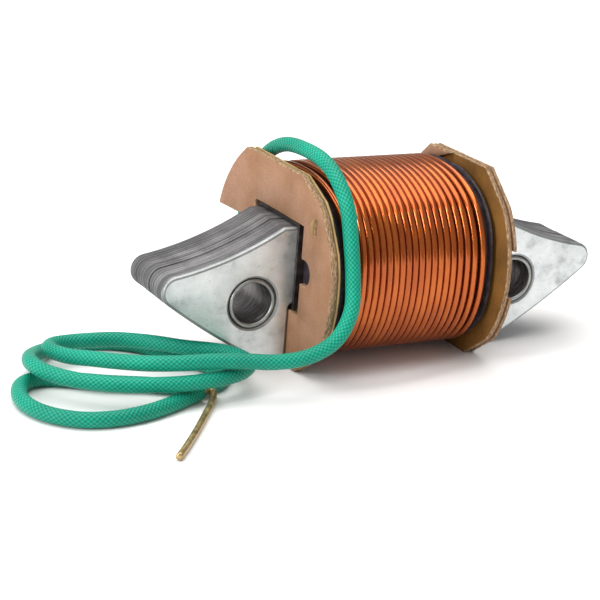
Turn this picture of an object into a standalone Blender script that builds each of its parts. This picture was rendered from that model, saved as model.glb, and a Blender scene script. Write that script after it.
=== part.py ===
"""Flywheel magneto ignition coil: laminated dog-bone core, fibre flanges, enamelled winding, sleeved lead.

Metres, +Z up. The coil axis runs along X, the lamination stack is built up along Y, and the coil
lies on the bottom flats of its flanges, on Z = 0. X = 0 is halfway between the two pole tips.
"""
import math

import bmesh
import bpy
from mathutils import Vector

MM = 0.001

# Core lamination, in millimetres: one outline in the XZ plane, the same left and right of X = 0.
BAR_BOTTOM = 8.2
BAR_TOP = 18.2
POLE_INNER_X = 14.25
POLE_BOTTOM = 0.85
HEEL_X = 17.4
SHOULDER_X = 15.5
TIP_X = 29.6
TIP_Z = 11.0
TIP_RADIUS = 2.0
HORN_ARC_RADIUS = 44.7
POLE_FACE_RADIUS = 90.0
HEEL_FILLET = 0.8
THROAT_FILLET = 0.6
HORN_STEPS = 6
TIP_STEPS = 6
FACE_STEPS = 3
FILLET_STEPS = 2

# Screw holes through the poles, each lined with a tubular rivet that clamps the stack.
HOLE_X = 19.35
HOLE_Z = 8.75
HOLE_RADIUS = 3.25
HOLE_STEPS = 16
RIVET_OUTER_RADIUS = 3.1
SCREW_BORE_RADIUS = 2.65
RIVET_STEPS = 24

# Lamination stack along Y.
LAMINATIONS = 16
LAMINATION_THICKNESS = 0.5
END_PLATE_THICKNESS = 0.7
STACK_GAP = 0.05
STACK_INNER = LAMINATIONS * LAMINATION_THICKNESS + (LAMINATIONS - 1) * STACK_GAP
STACK_HALF = STACK_INNER / 2 + STACK_GAP + END_PLATE_THICKNESS

# Flanges: discs with a flat top and bottom, slotted so that each ply slips over the core.
FLANGE_CENTRE_Z = 12.6
FLANGE_RADIUS = 15.2
FLANGE_TOP = 25.3
FLANGE_ARC_STEPS = 14
WINDOW_BOTTOM = 7.45
WINDOW_TOP = 18.95
WINDOW_HALF_WIDTH = 5.85
WIRE_WINDOW_FRONT = -7.2
SLOT_BOTTOM = 9.8
SLOT_TOP = 16.0
LINER_WINDOW_FRONT = -9.9
NOTCH_Z = 13.2
NOTCH_RADIUS = 1.6
NOTCH_DEPTH = 2.4
NOTCH_STEPS = 8
SLIT_Y = -10.2
SLIT_Z = 19.6
SLIT_WIDTH = 0.5
SLIT_HEIGHT = 2.0
LEFT_OUTER_PLY = (-14.2, -13.35)
LEFT_INNER_PLY = (-13.2, -12.95)
RIGHT_INNER_PLY = (11.2, 11.85)
RIGHT_OUTER_PLY = (12.0, 12.45)
PACKING_PIECE = (10.65, 11.15)

# Straight cuts across the flanges: the way each one faces in degrees, and its distance from the axis.
FOOT_CUT = (-126.0, 14.55)
LEFT_CUTS = ((90.0, 12.45), (114.0, 13.7), (125.0, 14.45), (136.0, 14.75), (149.0, 14.85), FOOT_CUT)
CORNER_CUT = (49.0, 12.8)
RIGHT_CUTS = (CORNER_CUT, (131.0, 14.75), FOOT_CUT)
PACKING_CUT = (68.2, 11.66)

# Winding: nested layers between the flanges, squarish on the core and nearly round outside.
SLEEVE_CLEARANCE = 0.1
SLEEVE_WALL = 0.5
SLEEVE_SQUARENESS = 200.0
SLEEVE_LEFT = -13.9
WINDING_CENTRE_Z = 12.6
WINDING_HALF_WIDTH = 13.0
WINDING_HALF_HEIGHT = 12.0
WINDING_SQUARENESS = 2.3
WINDING_LEFT = -12.5
WINDING_RIGHT = 11.1
COVER_RIGHT = 10.6
OUTER_LAYER_LEFT = -11.9
OUTER_LAYER_RIGHT = 10.3
LAYER_GAP = 0.05
WIRE_DIAMETER = 0.95
WRAP_THICKNESS = 0.15
COVER_WRAP_THICKNESS = 0.25
WINDING_STEPS = 48

# Earth wire: the inner end of the winding, brought out through the flange's slot, soldered to the core.
EARTH_SLEEVE_DIAMETER = 1.2
EARTH_SLEEVE_POINTS = 6
EARTH_WIRE_POINTS = 6
EARTH_SLEEVE_ROUTE = [
    (-12.95, 6.6, 14.6),
    (-13.9, 6.65, 14.2),
    (-14.8, 6.6, 13.5),
    (-15.3, 6.4, 12.65),
]
EARTH_WIRE_ROUTE = [
    (-15.35, 6.3, 12.35),
    (-15.45, 6.2, 12.05),
    (-15.55, 6.1, 11.75),
]
SOLDER_CENTRE = (-15.6, 6.0, 10.9)
SOLDER_RADII = (0.5, 0.55, 0.5)

# Lead: braided sleeving over the outer end of the winding wire, ending in a bare wire.
LEAD_DIAMETER = 1.9
LEAD_POINTS = 80
WIRE_END_POINTS = 14
FINISH_WIRE_POINTS = 8
LEAD_ROUTE = [
    (-11.3, 14.4, 12.0),
    (-11.3, 14.35, 14.5),
    (-11.3, 13.4, 18.2),
    (-11.3, 11.4, 21.7),
    (-11.3, 8.2, 24.6),
    (-11.3, 4.0, 26.4),
    (-11.3, -1.0, 26.95),
    (-11.3, -5.8, 26.7),
    (-11.3, -9.6, 25.2),
    (-11.3, -12.5, 22.4),
    (-11.3, -14.0, 18.6),
    (-11.3, -15.1, 14.6),
    (-11.9, -16.4, 10.8),
    (-14.0, -17.0, 7.6),
    (-17.4, -16.8, 5.8),
    (-21.2, -16.0, 5.2),
    (-25.0, -14.6, 5.2),
    (-28.8, -13.6, 5.2),
    (-32.6, -13.1, 5.2),
    (-36.0, -11.6, 5.0),
    (-38.9, -9.2, 4.7),
    (-41.2, -6.4, 4.3),
    (-42.8, -3.8, 3.8),
    (-43.6, -1.4, 3.5),
    (-43.6, 0.9, 3.2),
    (-42.4, 2.6, 3.0),
    (-40.3, 3.4, 2.8),
    (-37.6, 3.3, 2.8),
    (-34.4, 2.8, 2.8),
    (-31.6, 1.4, 2.8),
    (-29.6, -0.7, 3.0),
    (-27.4, -3.0, 3.1),
    (-23.5, -5.7, 3.1),
    (-22.0, -8.5, 3.1),
    (-22.7, -11.5, 3.1),
    (-25.8, -13.6, 3.1),
    (-30.8, -14.4, 3.1),
    (-35.8, -13.8, 3.1),
    (-40.4, -12.2, 3.1),
    (-44.2, -9.6, 3.1),
    (-46.6, -6.4, 3.15),
    (-47.2, -3.2, 3.1),
    (-46.3, 0.2, 2.5),
    (-44.5, 3.3, 1.7),
    (-42.1, 5.7, 1.15),
    (-39.2, 7.0, 1.0),
    (-35.9, 7.1, 1.0),
    (-32.6, 6.2, 1.0),
    (-30.0, 4.3, 1.0),
    (-28.4, 1.6, 1.0),
    (-27.0, -1.4, 1.0),
    (-25.1, -4.1, 1.0),
    (-24.2, -6.8, 1.0),
    (-24.8, -9.1, 1.0),
    (-27.1, -10.8, 1.0),
    (-30.8, -10.4, 1.0),
    (-34.6, -8.4, 1.0),
    (-38.9, -6.5, 1.0),
    (-42.8, -4.3, 1.0),
    (-45.9, -3.0, 1.0),
    (-48.6, -4.0, 1.0),
    (-50.1, -6.9, 1.0),
    (-50.3, -10.5, 1.0),
    (-48.9, -13.9, 1.0),
    (-46.0, -16.4, 1.0),
    (-42.2, -17.2, 1.0),
    (-38.2, -16.6, 1.0),
    (-34.6, -15.2, 1.0),
    (-31.4, -13.6, 1.0),
    (-29.6, -12.7, 1.0),
]
WIRE_END_ROUTE = [
    (-29.25, -12.5, 1.0),
    (-28.1, -12.0, 0.9),
    (-27.7, -12.5, 0.8),
    (-28.2, -13.6, 0.7),
    (-29.4, -15.5, 0.6),
    (-31.6, -18.5, 0.55),
    (-34.2, -22.0, 0.55),
    (-37.0, -25.6, 0.55),
    (-39.3, -28.4, 0.55),
]
FINISH_WIRE_ROUTE = [
    (-11.3, 14.4, 11.65),
    (-11.25, 14.2, 10.4),
    (-11.2, 13.9, 9.0),
    (-11.1, 13.4, 7.2),
    (-11.05, 12.6, 5.3),
]


def clear_scene():
    for item in list(bpy.data.objects):
        bpy.data.objects.remove(item, do_unlink=True)


def make_material(name, colour, roughness, metallic=0.0):
    material = bpy.data.materials.new(name)
    material.use_nodes = True
    shader = material.node_tree.nodes["Principled BSDF"]
    shader.inputs["Base Color"].default_value = (*colour, 1.0)
    shader.inputs["Roughness"].default_value = roughness
    shader.inputs["Metallic"].default_value = metallic
    return material


def add_object(name, mesh, material):
    mesh.materials.append(material)
    item = bpy.data.objects.new(name, mesh)
    bpy.context.scene.collection.objects.link(item)
    return item


def arc_points(centre, radius, start, end, steps):
    """Points on an arc about centre, angles in radians, both ends included."""
    points = []
    for step in range(steps + 1):
        angle = start + (end - start) * step / steps
        points.append((centre[0] + radius * math.cos(angle), centre[1] + radius * math.sin(angle)))
    return points


def circle_meeting(centre_a, radius_a, centre_b, radius_b, side):
    """The point at radius_a from centre_a and radius_b from centre_b, on the given side of the line."""
    offset = Vector(centre_b) - Vector(centre_a)
    distance = offset.length
    along = (distance ** 2 + radius_a ** 2 - radius_b ** 2) / (2 * distance)
    across = math.sqrt(radius_a ** 2 - along ** 2) * side
    direction = offset.normalized()
    normal = Vector((-direction.y, direction.x))
    return Vector(centre_a) + direction * along + normal * across


def angle_from(centre, point):
    return math.atan2(point[1] - centre[1], point[0] - centre[0])


def fillet(before, corner, after, radius, steps):
    """The corner rounded off by an arc that touches both of its edges."""
    corner = Vector(corner)
    towards_before = (Vector(before) - corner).normalized()
    towards_after = (Vector(after) - corner).normalized()
    half_angle = towards_before.angle(towards_after) / 2
    reach = radius / math.tan(half_angle)
    centre = corner + (towards_before + towards_after).normalized() * radius / math.sin(half_angle)
    start = angle_from(centre, corner + towards_before * reach)
    end = angle_from(centre, corner + towards_after * reach)
    if end - start > math.pi:
        end -= 2 * math.pi
    if start - end > math.pi:
        end += 2 * math.pi
    return arc_points(centre, radius, start, end, steps)


def pole_outline():
    """The right-hand pole from the bar's underside round to the bar's top, as (x, z) in millimetres."""
    tip = (TIP_X, TIP_Z)
    shoulder = (SHOULDER_X, BAR_TOP)
    heel = (HEEL_X, POLE_BOTTOM)
    inner_foot = (POLE_INNER_X, POLE_BOTTOM)
    face_centre = circle_meeting(heel, POLE_FACE_RADIUS, tip, POLE_FACE_RADIUS - TIP_RADIUS, 1)
    horn_centre = circle_meeting(shoulder, HORN_ARC_RADIUS, tip, HORN_ARC_RADIUS + TIP_RADIUS, 1)
    face_end = angle_from(face_centre, tip)
    horn_start = angle_from(horn_centre, tip)
    horn_end = angle_from(horn_centre, shoulder)
    face_start = angle_from(face_centre, heel)
    face = arc_points(face_centre, POLE_FACE_RADIUS, face_start, face_end, FACE_STEPS)
    nose = arc_points(tip, TIP_RADIUS, face_end, horn_start + math.pi, TIP_STEPS)
    horn = arc_points(horn_centre, HORN_ARC_RADIUS, horn_start, horn_end, HORN_STEPS)
    outline = fillet((0.0, BAR_BOTTOM), (POLE_INNER_X, BAR_BOTTOM), inner_foot, THROAT_FILLET, FILLET_STEPS)
    outline.append(inner_foot)
    outline += fillet(inner_foot, heel, face[1], HEEL_FILLET, FILLET_STEPS)
    outline += face[1:]
    outline += nose[1:]
    outline += horn[1:]
    return outline


def lamination_outline():
    right = pole_outline()
    left = [(-x, z) for x, z in reversed(right)]
    return right + left


def circle_outline(x, z, radius, steps):
    points = []
    for step in range(steps):
        angle = 2 * math.pi * step / steps
        points.append((x + radius * math.cos(angle), z + radius * math.sin(angle)))
    return points


def plate_mesh(name, outline, holes, low, high, to_world):
    """A flat plate with holes: closed loops in its own plane, swept from low to high across it."""
    mesh = bpy.data.meshes.new(name)
    shape = bmesh.new()
    edges = []
    for loop in [outline] + holes:
        corners = [shape.verts.new(to_world(a, b, low)) for a, b in loop]
        for index, corner in enumerate(corners):
            edges.append(shape.edges.new((corner, corners[(index + 1) % len(corners)])))
    face = bmesh.ops.triangle_fill(shape, use_beauty=True, use_dissolve=False, edges=edges)
    faces = [item for item in face["geom"] if isinstance(item, bmesh.types.BMFace)]
    swept = bmesh.ops.extrude_face_region(shape, geom=faces)
    moved = [item for item in swept["geom"] if isinstance(item, bmesh.types.BMVert)]
    step = Vector(to_world(0.0, 0.0, high)) - Vector(to_world(0.0, 0.0, low))
    bmesh.ops.translate(shape, verts=moved, vec=step)
    bmesh.ops.recalc_face_normals(shape, faces=shape.faces)
    shape.to_mesh(mesh)
    shape.free()
    return mesh


def across_y(a, b, depth):
    return (a * MM, depth * MM, b * MM)


def across_x(a, b, depth):
    return (depth * MM, a * MM, b * MM)


def make_laminations(plate_steel, sheet_steel):
    outline = lamination_outline()
    holes = [circle_outline(side * HOLE_X, HOLE_Z, HOLE_RADIUS, HOLE_STEPS) for side in (-1, 1)]
    spans = [("core_plate_front", -STACK_HALF, -STACK_HALF + END_PLATE_THICKNESS, plate_steel)]
    for number in range(LAMINATIONS):
        low = -STACK_INNER / 2 + number * (LAMINATION_THICKNESS + STACK_GAP)
        spans.append((f"core_lamination_{number + 1:02d}", low, low + LAMINATION_THICKNESS, sheet_steel))
    spans.append(("core_plate_back", STACK_HALF - END_PLATE_THICKNESS, STACK_HALF, plate_steel))
    for name, low, high, material in spans:
        add_object(name, plate_mesh(name, outline, holes, low, high, across_y), material)


def ring_mesh(name, rings):
    """A tube swept through a list of rings of points, closed back onto its first ring."""
    mesh = bpy.data.meshes.new(name)
    shape = bmesh.new()
    rows = [[shape.verts.new(point) for point in ring] for ring in rings]
    count = len(rows[0])
    for index, here in enumerate(rows):
        there = rows[(index + 1) % len(rows)]
        for corner in range(count):
            after = (corner + 1) % count
            shape.faces.new((here[corner], here[after], there[after], there[corner]))
    bmesh.ops.recalc_face_normals(shape, faces=shape.faces)
    shape.to_mesh(mesh)
    shape.free()
    return mesh


def make_rivets(material):
    for name, x in (("left_tubular_rivet", -HOLE_X), ("right_tubular_rivet", HOLE_X)):
        rings = []
        for radius, y in (
            (RIVET_OUTER_RADIUS, -STACK_HALF),
            (RIVET_OUTER_RADIUS, STACK_HALF),
            (SCREW_BORE_RADIUS, STACK_HALF),
            (SCREW_BORE_RADIUS, -STACK_HALF),
        ):
            rings.append([across_y(a, b, y) for a, b in circle_outline(x, HOLE_Z, radius, RIVET_STEPS)])
        item = add_object(name, ring_mesh(name, rings), material)
        item.data.shade_smooth()
        item.data.set_sharp_from_angle(angle=math.radians(40))


def rim_reach(z):
    """Half the flange's width at a height."""
    return math.sqrt(FLANGE_RADIUS ** 2 - (z - FLANGE_CENTRE_Z) ** 2)


def rim_arc():
    """The +Y side of the flange's edge, from the bottom flat to the top flat, as (y, z)."""
    bottom = math.asin(-FLANGE_CENTRE_Z / FLANGE_RADIUS)
    top = math.asin((FLANGE_TOP - FLANGE_CENTRE_Z) / FLANGE_RADIUS)
    return arc_points((0.0, FLANGE_CENTRE_Z), FLANGE_RADIUS, bottom, top, FLANGE_ARC_STEPS)


def side_slotted_outline(slot_side, far_edge, notch=()):
    """A flange ply with a window for the core and a narrower slot from it out to one side."""
    slot = [
        (rim_reach(SLOT_BOTTOM), SLOT_BOTTOM),
        (WINDOW_HALF_WIDTH, SLOT_BOTTOM),
        (WINDOW_HALF_WIDTH, WINDOW_BOTTOM),
        (-far_edge, WINDOW_BOTTOM),
        *notch,
        (-far_edge, WINDOW_TOP),
        (WINDOW_HALF_WIDTH, WINDOW_TOP),
        (WINDOW_HALF_WIDTH, SLOT_TOP),
        (rim_reach(SLOT_TOP), SLOT_TOP),
    ]
    below = [point for point in rim_arc() if point[1] < SLOT_BOTTOM]
    above = [point for point in rim_arc() if point[1] > SLOT_TOP]
    plain_side = [(-y, z) for y, z in reversed(rim_arc())]
    return [(slot_side * y, z) for y, z in below + slot + above + plain_side]


def straight_cut(outline, cut, kept_side):
    """The part of an outline on one side of a straight cut: -1 keeps the centre's side, 1 the far side."""
    towards = math.radians(cut[0])
    past = [
        kept_side * (cut[1] - y * math.cos(towards) - (z - FLANGE_CENTRE_Z) * math.sin(towards))
        for y, z in outline
    ]
    kept = []
    for index, point in enumerate(outline):
        if past[index - 1] * past[index] < 0:
            share = past[index - 1] / (past[index - 1] - past[index])
            kept.append(tuple(Vector(outline[index - 1]).lerp(Vector(point), share)))
        if past[index] <= 0:
            kept.append(point)
    return kept


def trimmed(outline, cuts):
    """The outline with everything past its straight cuts taken off."""
    for cut in cuts:
        outline = straight_cut(outline, cut, -1)
    return outline


def packing_outline():
    """The sliver of the flange's disc between its cut corner and a second straight cut below it."""
    disc = rim_arc() + [(-y, z) for y, z in reversed(rim_arc())]
    return straight_cut(straight_cut(disc, CORNER_CUT, -1), PACKING_CUT, 1)


def wire_notch():
    """A half-round bite out of the window's front edge, bottom to top."""
    centre = (WIRE_WINDOW_FRONT - NOTCH_DEPTH + NOTCH_RADIUS, NOTCH_Z)
    bite = arc_points(centre, NOTCH_RADIUS, -math.pi / 2, -1.5 * math.pi, NOTCH_STEPS)
    return [(WIRE_WINDOW_FRONT, bite[0][1])] + bite + [(WIRE_WINDOW_FRONT, bite[-1][1])]


def slit_outline():
    corners = ((-1, -1), (1, -1), (1, 1), (-1, 1))
    return [(SLIT_Y + side * SLIT_WIDTH / 2, SLIT_Z + end * SLIT_HEIGHT / 2) for side, end in corners]


def make_flanges(board, liner):
    wire_side = trimmed(side_slotted_outline(1, -WIRE_WINDOW_FRONT, wire_notch()), LEFT_CUTS)
    liner_card = trimmed(side_slotted_outline(1, -LINER_WINDOW_FRONT), LEFT_CUTS)
    back_slotted = trimmed(side_slotted_outline(1, WINDOW_HALF_WIDTH), RIGHT_CUTS)
    front_slotted = trimmed(side_slotted_outline(-1, WINDOW_HALF_WIDTH), RIGHT_CUTS)
    packing = packing_outline()
    pieces = [
        ("left_flange_outer_ply", wire_side, [slit_outline()], LEFT_OUTER_PLY, board),
        ("left_flange_liner", liner_card, [], LEFT_INNER_PLY, liner),
        ("right_flange_inner_ply", back_slotted, [], RIGHT_INNER_PLY, board),
        ("right_flange_outer_ply", front_slotted, [], RIGHT_OUTER_PLY, board),
        ("right_flange_packing", packing, [], PACKING_PIECE, liner),
    ]
    for name, outline, holes, (low, high), material in pieces:
        add_object(name, plate_mesh(name, outline, holes, low, high, across_x), material)


def superellipse(angle, centre_z, half_width, half_height, squareness):
    """A rounded-square loop about the coil axis, as (y, z)."""
    across, up = math.cos(angle), math.sin(angle)
    scale = (abs(across) ** squareness + abs(up) ** squareness) ** (-1 / squareness)
    return Vector((half_width * across * scale, centre_z + half_height * up * scale))


def winding_loop(depth):
    """The winding's section at a depth from 0, on the core's sleeve, to 1, at its outside."""
    core_centre = (BAR_BOTTOM + BAR_TOP) / 2
    wall = SLEEVE_CLEARANCE + SLEEVE_WALL
    core_width = STACK_HALF + wall
    core_height = (BAR_TOP - BAR_BOTTOM) / 2 + wall
    loop = []
    for step in range(WINDING_STEPS):
        angle = 2 * math.pi * step / WINDING_STEPS
        inner = superellipse(angle, core_centre, core_width, core_height, SLEEVE_SQUARENESS)
        outer = superellipse(
            angle, WINDING_CENTRE_Z, WINDING_HALF_WIDTH, WINDING_HALF_HEIGHT, WINDING_SQUARENESS
        )
        loop.append(inner.lerp(outer, depth))
    return loop


def make_tube_layer(name, inner, outer, left, right, material):
    """One wound layer: the space between two loops, from left to right along the coil axis."""
    rings = []
    for loop, x in ((outer, left), (outer, right), (inner, right), (inner, left)):
        rings.append([across_x(y, z, x) for y, z in loop])
    item = add_object(name, ring_mesh(name, rings), material)
    item.data.shade_smooth()
    item.data.set_sharp_from_angle(angle=math.radians(40))


def make_core_sleeve(material):
    """Insulating sleeve on the bar, out into the left flange's window: a wall with the bar's corners."""
    centre = (BAR_BOTTOM + BAR_TOP) / 2
    loops = []
    for wall in (SLEEVE_CLEARANCE, SLEEVE_CLEARANCE + SLEEVE_WALL - LAYER_GAP):
        half_width = STACK_HALF + wall
        half_height = (BAR_TOP - BAR_BOTTOM) / 2 + wall
        corners = ((-1, -1), (1, -1), (1, 1), (-1, 1))
        loops.append([(side * half_width, centre + end * half_height) for side, end in corners])
    inner, outer = loops
    rings = []
    for loop, x in (
        (outer, SLEEVE_LEFT),
        (outer, WINDING_RIGHT),
        (inner, WINDING_RIGHT),
        (inner, SLEEVE_LEFT),
    ):
        rings.append([across_x(y, z, x) for y, z in loop])
    add_object("core_sleeve", ring_mesh("core_sleeve", rings), material)


def make_winding(copper, wrap, cover):
    order = [
        ("winding_layer_1", WIRE_DIAMETER, WINDING_RIGHT, copper),
        ("winding_layer_2", WIRE_DIAMETER, WINDING_RIGHT, copper),
        ("layer_wrap_1", WRAP_THICKNESS, WINDING_RIGHT, wrap),
        ("winding_layer_3", WIRE_DIAMETER, WINDING_RIGHT, copper),
        ("winding_layer_4", WIRE_DIAMETER, WINDING_RIGHT, copper),
        ("layer_wrap_2", WRAP_THICKNESS, WINDING_RIGHT, wrap),
        ("winding_layer_5", WIRE_DIAMETER, COVER_RIGHT, copper),
        ("cover_wrap", COVER_WRAP_THICKNESS, COVER_RIGHT, cover),
        ("winding_layer_6", WIRE_DIAMETER, OUTER_LAYER_RIGHT, copper),
    ]
    build = sum(thickness + LAYER_GAP for name, thickness, right, material in order)
    depth = 0.0
    for name, thickness, right, material in order:
        inner = winding_loop((depth + LAYER_GAP) / build)
        depth += thickness + LAYER_GAP
        outer = winding_loop(depth / build)
        left = OUTER_LAYER_LEFT if name == "winding_layer_6" else WINDING_LEFT
        make_tube_layer(name, inner, outer, left, right, material)


def smooth_route(route, count):
    """Evenly spaced points on a smooth curve through every point of a route."""
    points = [Vector(point) for point in route]
    points = [points[0] * 2 - points[1]] + points + [points[-1] * 2 - points[-2]]
    fine = []
    for index in range(1, len(points) - 2):
        before, start, end, after = points[index - 1:index + 3]
        for step in range(20):
            t = step / 20
            fine.append(
                0.5
                * (
                    2 * start
                    + (end - before) * t
                    + (2 * before - 5 * start + 4 * end - after) * t ** 2
                    + (3 * start - before - 3 * end + after) * t ** 3
                )
            )
    fine.append(points[-2])
    reached = [0.0]
    for index in range(1, len(fine)):
        reached.append(reached[-1] + (fine[index] - fine[index - 1]).length)
    even = []
    index = 0
    for number in range(count):
        target = reached[-1] * number / (count - 1)
        while index < len(fine) - 2 and reached[index + 1] < target:
            index += 1
        share = (target - reached[index]) / (reached[index + 1] - reached[index])
        even.append(fine[index].lerp(fine[index + 1], share))
    return even


def make_tube(name, route, diameter, count, material):
    curve = bpy.data.curves.new(name, "CURVE")
    curve.dimensions = "3D"
    curve.bevel_depth = diameter / 2 * MM
    curve.bevel_resolution = 2
    curve.use_fill_caps = True
    spline = curve.splines.new("POLY")
    points = smooth_route(route, count)
    spline.points.add(len(points) - 1)
    for target, point in zip(spline.points, points):
        target.co = (*(point * MM), 1.0)
    add_object(name, curve, material)


def make_solder(material):
    mesh = bpy.data.meshes.new("earth_solder")
    shape = bmesh.new()
    bmesh.ops.create_uvsphere(shape, u_segments=12, v_segments=8, radius=MM)
    bmesh.ops.scale(shape, vec=SOLDER_RADII, verts=shape.verts)
    bmesh.ops.translate(shape, vec=Vector(SOLDER_CENTRE) * MM, verts=shape.verts)
    shape.to_mesh(mesh)
    shape.free()
    item = add_object("earth_solder", mesh, material)
    item.data.shade_smooth()


def build():
    clear_scene()
    plate_steel = make_material("plate_steel", (0.55, 0.57, 0.57), 0.35, 0.9)
    sheet_steel = make_material("sheet_steel", (0.32, 0.32, 0.33), 0.5, 0.8)
    rivet_steel = make_material("rivet_steel", (0.45, 0.46, 0.46), 0.35, 0.9)
    board = make_material("fibre_board", (0.42, 0.24, 0.13), 0.75)
    liner = make_material("fibre_liner", (0.5, 0.31, 0.18), 0.75)
    insulation = make_material("core_insulation", (0.08, 0.05, 0.05), 0.7)
    copper = make_material("enamelled_copper", (0.55, 0.16, 0.03), 0.3, 0.6)
    wrap = make_material("black_wrap", (0.05, 0.03, 0.05), 0.7)
    bare_wire = make_material("bare_wire", (0.5, 0.38, 0.18), 0.4, 0.8)
    solder = make_material("solder", (0.55, 0.55, 0.55), 0.4, 0.9)
    sleeving = make_material("green_sleeving", (0.0, 0.4, 0.2), 0.45)
    make_laminations(plate_steel, sheet_steel)
    make_rivets(rivet_steel)
    make_flanges(board, liner)
    make_core_sleeve(insulation)
    make_winding(copper, insulation, wrap)
    make_solder(solder)
    tubes = [
        ("earth_wire_sleeve", EARTH_SLEEVE_ROUTE, EARTH_SLEEVE_DIAMETER, EARTH_SLEEVE_POINTS, insulation),
        ("earth_wire", EARTH_WIRE_ROUTE, WIRE_DIAMETER, EARTH_WIRE_POINTS, bare_wire),
        ("finish_wire", FINISH_WIRE_ROUTE, WIRE_DIAMETER, FINISH_WIRE_POINTS, copper),
        ("lead_sleeve", LEAD_ROUTE, LEAD_DIAMETER, LEAD_POINTS, sleeving),
        ("lead_wire_end", WIRE_END_ROUTE, WIRE_DIAMETER, WIRE_END_POINTS, bare_wire),
    ]
    for name, route, diameter, count, material in tubes:
        make_tube(name, route, diameter, count, material)


build()
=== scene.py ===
"""Looks of the flywheel magneto coil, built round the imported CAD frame.

Sizes here are in millimetres and are turned into metres where a mesh is made. The coil axis is X, the
lamination stack is built up along Y, and Z is up.
"""

import math
import random

import bmesh
import bpy
from mathutils import Matrix, Vector


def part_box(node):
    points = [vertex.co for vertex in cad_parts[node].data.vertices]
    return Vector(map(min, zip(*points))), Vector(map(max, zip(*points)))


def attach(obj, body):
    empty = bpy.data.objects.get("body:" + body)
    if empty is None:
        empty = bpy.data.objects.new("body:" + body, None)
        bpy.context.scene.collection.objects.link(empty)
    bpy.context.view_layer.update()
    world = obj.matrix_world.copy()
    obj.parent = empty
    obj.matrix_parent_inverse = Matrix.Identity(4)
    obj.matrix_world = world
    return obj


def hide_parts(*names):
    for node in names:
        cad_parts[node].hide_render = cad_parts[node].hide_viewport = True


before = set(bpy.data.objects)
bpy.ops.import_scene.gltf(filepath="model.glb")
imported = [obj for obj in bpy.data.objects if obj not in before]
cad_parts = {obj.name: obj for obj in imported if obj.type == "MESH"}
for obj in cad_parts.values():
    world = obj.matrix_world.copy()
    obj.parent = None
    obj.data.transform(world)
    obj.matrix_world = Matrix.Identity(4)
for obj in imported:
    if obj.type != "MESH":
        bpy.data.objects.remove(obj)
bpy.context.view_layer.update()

MM = 0.001
TAU = 2 * math.pi


# ---------------------------------------------------------------- sizes

def span(node, axis):
    """Where a CAD node begins and ends along an axis, in millimetres."""
    low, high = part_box(node)
    return low[axis] / MM, high[axis] / MM


BAR_BOTTOM = 8.2
BAR_TOP = 18.2
POLE_INNER_X = 14.25
POLE_BOTTOM = 0.85
HEEL_X = 17.4
SHOULDER_X = 15.5
TIP = (29.6, 11.0)
TIP_RADIUS = 2.0
HORN_ARC_RADIUS = 44.7
POLE_FACE_RADIUS = 90.0
HOLE = (19.35, 8.75)
HOLE_RADIUS = 3.25
BORE_RADIUS = 2.65
RIM_RADIUS = 3.18
RIM_DEPTH = 0.22

# The front sheets lie almost in line, the next one is set back by a step, and the rest are less even.
FRONT_SHEETS = 6
SHEET_STEP = 0.12
SHEET_CHAMFER = 0.06

FLANGE_CENTRE = (0.0, 12.6)
FLANGE_RADIUS = 15.2
FLANGE_TOP = 25.3
FOOT_CUT = (-126.0, 14.55)
LEFT_CUTS = ((90.0, 12.45), (114.0, 13.7), (125.0, 14.45), (136.0, 14.75), (149.0, 14.85), FOOT_CUT)
CORNER_CUT = (49.0, 12.8)
RIGHT_CUTS = (CORNER_CUT, (131.0, 14.75), FOOT_CUT)
PACKING_CUT = (68.2, 11.66)
WINDOW_BOTTOM = 7.45
WINDOW_TOP = 18.95
WINDOW_HALF_WIDTH = 5.85
WIRE_WINDOW_FRONT = -7.2
SLOT_BOTTOM = 9.8
SLOT_TOP = 16.0
LINER_WINDOW_FRONT = -9.9
NOTCH_Z = 13.2
NOTCH_RADIUS = 1.6
NOTCH_DEPTH = 2.4
SLIT = (-10.2, 19.6)
SLIT_SIZE = (0.4, 2.1)
TORN_STEP = 0.4
TORN_FROM = 11.0

WINDING_CENTRE_Z = 12.6
WINDING_HALF = (13.0, 12.0)
WINDING_SQUARENESS = 2.3
CORE_CENTRE_Z = (BAR_BOTTOM + BAR_TOP) / 2
SLEEVE_HALF = (5.73, 5.6)
CORE_SQUARENESS = 200.0
LAYER_GAP = 0.05
PAPER_THICKNESS = 0.15
COVER_THICKNESS = 0.25
BAR_SLEEVE_WALL = 0.45
WIRE_DIAMETER = 0.95
# The turns are drawn a little thinner than the wire, so that the gaps between them show.
TURN_RADIUS = WIRE_DIAMETER / 2 - 0.02
BARE_DIAMETER = 0.86
TURN_PITCH = 0.965
OUTER_LEAD_IN = 0.9
OUTER_LOOSENESS = 0.05

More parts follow.
